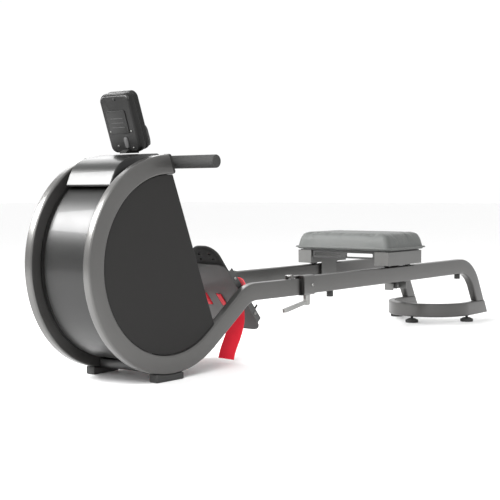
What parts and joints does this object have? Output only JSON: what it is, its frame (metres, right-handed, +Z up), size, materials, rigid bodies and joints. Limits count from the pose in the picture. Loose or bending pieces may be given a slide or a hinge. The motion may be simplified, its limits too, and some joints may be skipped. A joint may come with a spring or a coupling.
{
  "type": "rowing machine",
  "caption": "Folding rowing machine with a drum-shaped magnetic drive housing, twin side rails, sliding padded seat, strap footrests, pull handle and tilting console.",
  "frame": {"origin": "middle of the machine's length and width, on the floor", "axes": "+X from the housing to the tail of the rails, +Y to the far side, +Z up"},
  "size_m": [2.085, 0.48, 0.7542],
  "materials": {
    "frame_paint": "satin warm grey metallic",
    "black_gloss": "gloss",
    "black_matt": "matt",
    "black_steel": "matt black",
    "bare_steel": "zinc plated",
    "carriage_paint": "satin grey",
    "cast_iron": "machined",
    "rubber": "matt",
    "foam": "closed-cell foam",
    "vinyl": "soft grained vinyl",
    "nylon": "moulded",
    "webbing": "woven black",
    "red_webbing": "woven red"
  },
  "bodies": {
    "frame": {"near_front_frame": "frame_paint", "far_front_frame": "frame_paint", "near_side_panel": "black_matt", "far_side_panel": "black_matt", "near_front_foot": "rubber", "far_front_foot": "rubber", "front_cover": "black_gloss", "top_cover": "black_gloss", "rear_cover": "black_gloss", "front_cross_tube": "black_steel", "rear_cross_tube": "black_steel", "axle_bracket": "black_steel", "flywheel_axle": "bare_steel", "recoil_spring_case": "black_steel", "drive_belt": "rubber", "pull_strap": "webbing", "console_bracket": "black_matt", "handle_cradle": "black_matt", "footrest_platform": "black_steel", "near_foot_plate": "black_matt", "far_foot_plate": "black_matt", "near_foot_strap": "red_webbing", "far_foot_strap": "red_webbing", "near_hinge_pin": "bare_steel", "far_hinge_pin": "bare_steel"},
    "rear_section": {"near_rail": "frame_paint", "far_rail": "frame_paint", "floor_loop": "frame_paint", "near_hinge_bracket": "frame_paint", "far_hinge_bracket": "frame_paint", "near_front_stop": "rubber", "far_front_stop": "rubber", "near_rear_stop": "rubber", "far_rear_stop": "rubber"},
    "seat": {"seat_pad": "vinyl", "seat_base": "black_steel", "near_carriage_bracket": "carriage_paint", "far_carriage_bracket": "carriage_paint"},
    "handle": {"handle_tube": "black_steel", "near_grip": "foam", "far_grip": "foam", "handle_yoke": "black_steel"},
    "flywheel_wheel": {"flywheel": "cast_iron"},
    "drum": {"strap_drum": "nylon"},
    "idler": {"strap_idler": "nylon"},
    "magnets": {"magnet_carrier": "black_steel"},
    "console": {"console_case": "black_matt"},
    "near_front_wheel": {"near_front_roller": "nylon"},
    "near_rear_wheel": {"near_rear_roller": "nylon"},
    "near_keeper_wheel": {"near_keeper_roller": "nylon"},
    "near_lever": {"near_lock_lever": "bare_steel"},
    "near_heel": {"near_heel_cup": "black_matt"},
    "far_front_wheel": {"far_front_roller": "nylon"},
    "far_rear_wheel": {"far_rear_roller": "nylon"},
    "far_keeper_wheel": {"far_keeper_roller": "nylon"},
    "far_lever": {"far_lock_lever": "bare_steel"},
    "far_heel": {"far_heel_cup": "black_matt"},
    "centre_screw_foot": {"centre_levelling_foot": "rubber"},
    "near_screw_foot": {"near_levelling_foot": "rubber"},
    "far_screw_foot": {"far_levelling_foot": "rubber"}
  },
  "joints": [
    {"name": "rail_fold", "type": "hinge", "parent": "frame", "child": "rear_section", "pos_m": [-0.24954, 0, 0.24], "axis": [0, -1, 0], "range_deg": [0, 95]},
    {"name": "seat_slide", "type": "slide", "parent": "rear_section", "child": "seat", "axis": [1, 0, 0], "range_m": [-0.36, 0.384]},
    {"name": "near_front_roll", "type": "hinge", "parent": "seat", "child": "near_front_wheel", "pos_m": [0.30296, -0.1495, 0.2568], "axis": [0, 1, 0], "range_deg": [-1100, 1170]},
    {"name": "near_rear_roll", "type": "hinge", "parent": "seat", "child": "near_rear_wheel", "pos_m": [0.43296, -0.1495, 0.2568], "axis": [0, 1, 0], "range_deg": [-1100, 1170]},
    {"name": "near_keeper_roll", "type": "hinge", "parent": "seat", "child": "near_keeper_wheel", "pos_m": [0.34846, -0.1495, 0.1715], "axis": [0, 1, 0], "continuous": true},
    {"name": "near_lever_turn", "type": "hinge", "parent": "rear_section", "child": "near_lever", "pos_m": [-0.17454, -0.1495, 0.16], "axis": [0, 0, 1], "range_deg": [0, 120]},
    {"name": "near_heel_slide", "type": "slide", "parent": "frame", "child": "near_heel", "axis": [-0.6561, 0, 0.7547], "range_m": [0, 0.05]},
    {"name": "far_front_roll", "type": "hinge", "parent": "seat", "child": "far_front_wheel", "pos_m": [0.30296, 0.1495, 0.2568], "axis": [0, 1, 0], "range_deg": [-1100, 1170]},
    {"name": "far_rear_roll", "type": "hinge", "parent": "seat", "child": "far_rear_wheel", "pos_m": [0.43296, 0.1495, 0.2568], "axis": [0, 1, 0], "range_deg": [-1100, 1170]},
    {"name": "far_keeper_roll", "type": "hinge", "parent": "seat", "child": "far_keeper_wheel", "pos_m": [0.34846, 0.1495, 0.1715], "axis": [0, 1, 0], "continuous": true},
    {"name": "far_lever_turn", "type": "hinge", "parent": "rear_section", "child": "far_lever", "pos_m": [-0.17454, 0.1495, 0.16], "axis": [0, 0, 1], "range_deg": [-120, 0]},
    {"name": "far_heel_slide", "type": "slide", "parent": "frame", "child": "far_heel", "axis": [-0.6561, 0, 0.7547], "range_m": [0, 0.05]},
    {"name": "handle_pull", "type": "slide", "parent": "frame", "child": "handle", "axis": [1, 0, 0], "range_m": [0, 1.05], "stiffness_N_per_m": 20, "springref_m": -0.3},
    {"name": "drum_spin", "type": "hinge", "parent": "frame", "child": "drum", "pos_m": [-0.75754, 0, 0.15], "axis": [0, -1, 0], "range_deg": [0, 1400]},
    {"name": "idler_spin", "type": "hinge", "parent": "frame", "child": "idler", "pos_m": [-0.79254, 0, 0.5529], "axis": [0, 1, 0], "range_deg": [0, 3920]},
    {"name": "flywheel_spin", "type": "hinge", "parent": "frame", "child": "flywheel_wheel", "pos_m": [-0.81254, -0.062, 0.315], "axis": [0, 1, 0], "continuous": true},
    {"name": "magnet_swing", "type": "hinge", "parent": "frame", "child": "magnets", "pos_m": [-0.76727, 0, 0.45433], "axis": [0, 1, 0], "range_deg": [0, 10]},
    {"name": "console_tilt", "type": "hinge", "parent": "frame", "child": "console", "pos_m": [-0.77904, 0, 0.604], "axis": [0, 1, 0], "range_deg": [-15, 10]},
    {"name": "centre_foot_turn", "type": "hinge", "parent": "rear_section", "child": "centre_screw_foot", "pos_m": [0.73996, 0, 0.012], "axis": [0, 0, 1], "continuous": true},
    {"name": "near_foot_turn", "type": "hinge", "parent": "rear_section", "child": "near_screw_foot", "pos_m": [0.89046, -0.1505, 0.012], "axis": [0, 0, 1], "continuous": true},
    {"name": "far_foot_turn", "type": "hinge", "parent": "rear_section", "child": "far_screw_foot", "pos_m": [0.89046, 0.1505, 0.012], "axis": [0, 0, 1], "continuous": true}
  ],
  "couplings": [
    {"joint": "near_front_roll", "follows": "seat_slide", "rad_per_m": 52.632},
    {"joint": "near_rear_roll", "follows": "seat_slide", "rad_per_m": 52.632},
    {"joint": "far_front_roll", "follows": "seat_slide", "rad_per_m": 52.632},
    {"joint": "far_rear_roll", "follows": "seat_slide", "rad_per_m": 52.632},
    {"joint": "drum_spin", "follows": "handle_pull", "rad_per_m": 22.88},
    {"joint": "idler_spin", "follows": "handle_pull", "rad_per_m": 64.9}
  ]
}
